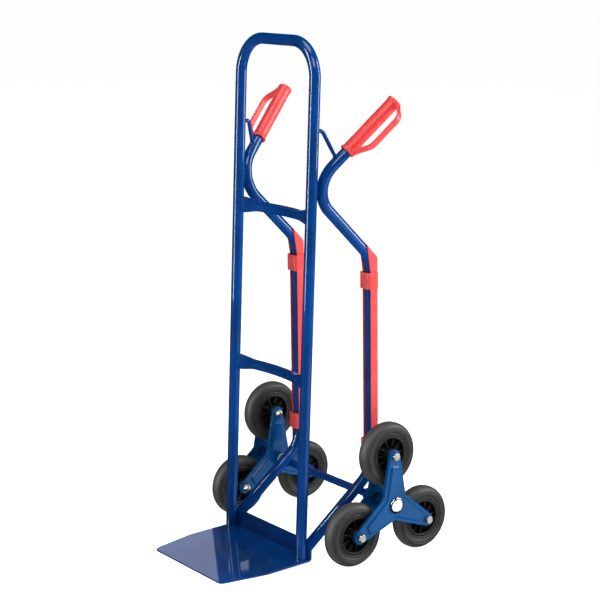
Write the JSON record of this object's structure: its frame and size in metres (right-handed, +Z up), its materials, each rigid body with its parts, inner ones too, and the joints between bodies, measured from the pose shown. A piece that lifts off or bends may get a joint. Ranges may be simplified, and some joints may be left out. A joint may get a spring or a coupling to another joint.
{
  "type": "stair climbing sack truck",
  "caption": "Upright sack truck for stairs with a toe plate, guarded grips, slide rails and three-wheel stars on a fixed axle.",
  "frame": {"origin": "on the ground, at the middle of the bounding box's underside", "axes": "+Z up along the uprights, +Y from the toe plate towards the grips, +X along the axle to the truck's side"},
  "size_m": [0.5836, 0.6294, 1.3],
  "materials": {
    "blue_paint": "gloss powder coat",
    "star_paint": "satin powder coat",
    "red_plastic": "semi-gloss moulded plastic",
    "zinc_steel": "zinc plated",
    "chrome_cap": "polished",
    "hub_plastic": "satin moulded plastic",
    "tyre_rubber": "satin solid rubber"
  },
  "bodies": {
    "frame": {"main_hoop": "blue_paint", "upper_crossbar": "blue_paint", "lower_crossbar": "blue_paint", "toe_plate": "blue_paint", "rear_tube_r": "blue_paint", "rear_tube_l": "blue_paint", "grip_r": "red_plastic", "grip_l": "red_plastic", "handle_strut_r": "blue_paint", "handle_strut_l": "blue_paint", "slide_rail_r": "red_plastic", "slide_rail_l": "red_plastic", "rail_clip_lower_r": "red_plastic", "rail_clip_lower_l": "red_plastic", "rail_clip_upper_r": "red_plastic", "rail_clip_upper_l": "red_plastic", "axle": "blue_paint", "axle_collar_r": "blue_paint", "axle_collar_l": "blue_paint", "thrust_washer_r": "zinc_steel", "thrust_washer_l": "zinc_steel", "hub_cap_r": "chrome_cap", "hub_cap_l": "chrome_cap"},
    "star_r": {"star_plate_outer_r": "star_paint", "star_plate_inner_r": "star_paint", "hub_tube_r": "star_paint", "wheel_bolt_r1": "zinc_steel", "wheel_nut_r1": "zinc_steel", "wheel_sleeve_r1": "zinc_steel", "wheel_bolt_r2": "zinc_steel", "wheel_nut_r2": "zinc_steel", "wheel_sleeve_r2": "zinc_steel", "wheel_bolt_r3": "zinc_steel", "wheel_nut_r3": "zinc_steel", "wheel_sleeve_r3": "zinc_steel"},
    "star_l": {"star_plate_outer_l": "star_paint", "star_plate_inner_l": "star_paint", "hub_tube_l": "star_paint", "wheel_bolt_l1": "zinc_steel", "wheel_nut_l1": "zinc_steel", "wheel_sleeve_l1": "zinc_steel", "wheel_bolt_l2": "zinc_steel", "wheel_nut_l2": "zinc_steel", "wheel_sleeve_l2": "zinc_steel", "wheel_bolt_l3": "zinc_steel", "wheel_nut_l3": "zinc_steel", "wheel_sleeve_l3": "zinc_steel"},
    "wheel_r1": {"wheel_hub_r1": "hub_plastic", "tyre_r1": "tyre_rubber"},
    "wheel_r2": {"wheel_hub_r2": "hub_plastic", "tyre_r2": "tyre_rubber"},
    "wheel_r3": {"wheel_hub_r3": "hub_plastic", "tyre_r3": "tyre_rubber"},
    "wheel_l1": {"wheel_hub_l1": "hub_plastic", "tyre_l1": "tyre_rubber"},
    "wheel_l2": {"wheel_hub_l2": "hub_plastic", "tyre_l2": "tyre_rubber"},
    "wheel_l3": {"wheel_hub_l3": "hub_plastic", "tyre_l3": "tyre_rubber"}
  },
  "joints": [
    {"name": "star_r_turn", "type": "hinge", "parent": "frame", "child": "star_r", "pos_m": [0.246, 0.125, 0.14375], "axis": [1, 0, 0], "continuous": true},
    {"name": "star_l_turn", "type": "hinge", "parent": "frame", "child": "star_l", "pos_m": [-0.246, 0.125, 0.14375], "axis": [1, 0, 0], "continuous": true},
    {"name": "wheel_r1_spin", "type": "hinge", "parent": "star_r", "child": "wheel_r1", "pos_m": [0.246, 0.125, 0.26925], "axis": [1, 0, 0], "continuous": true},
    {"name": "wheel_r2_spin", "type": "hinge", "parent": "star_r", "child": "wheel_r2", "pos_m": [0.246, 0.01631, 0.081], "axis": [1, 0, 0], "continuous": true},
    {"name": "wheel_r3_spin", "type": "hinge", "parent": "star_r", "child": "wheel_r3", "pos_m": [0.246, 0.23369, 0.081], "axis": [1, 0, 0], "continuous": true},
    {"name": "wheel_l1_spin", "type": "hinge", "parent": "star_l", "child": "wheel_l1", "pos_m": [-0.246, 0.125, 0.26925], "axis": [1, 0, 0], "continuous": true},
    {"name": "wheel_l2_spin", "type": "hinge", "parent": "star_l", "child": "wheel_l2", "pos_m": [-0.246, 0.23369, 0.081], "axis": [1, 0, 0], "continuous": true},
    {"name": "wheel_l3_spin", "type": "hinge", "parent": "star_l", "child": "wheel_l3", "pos_m": [-0.246, 0.01631, 0.081], "axis": [1, 0, 0], "continuous": true}
  ]
}
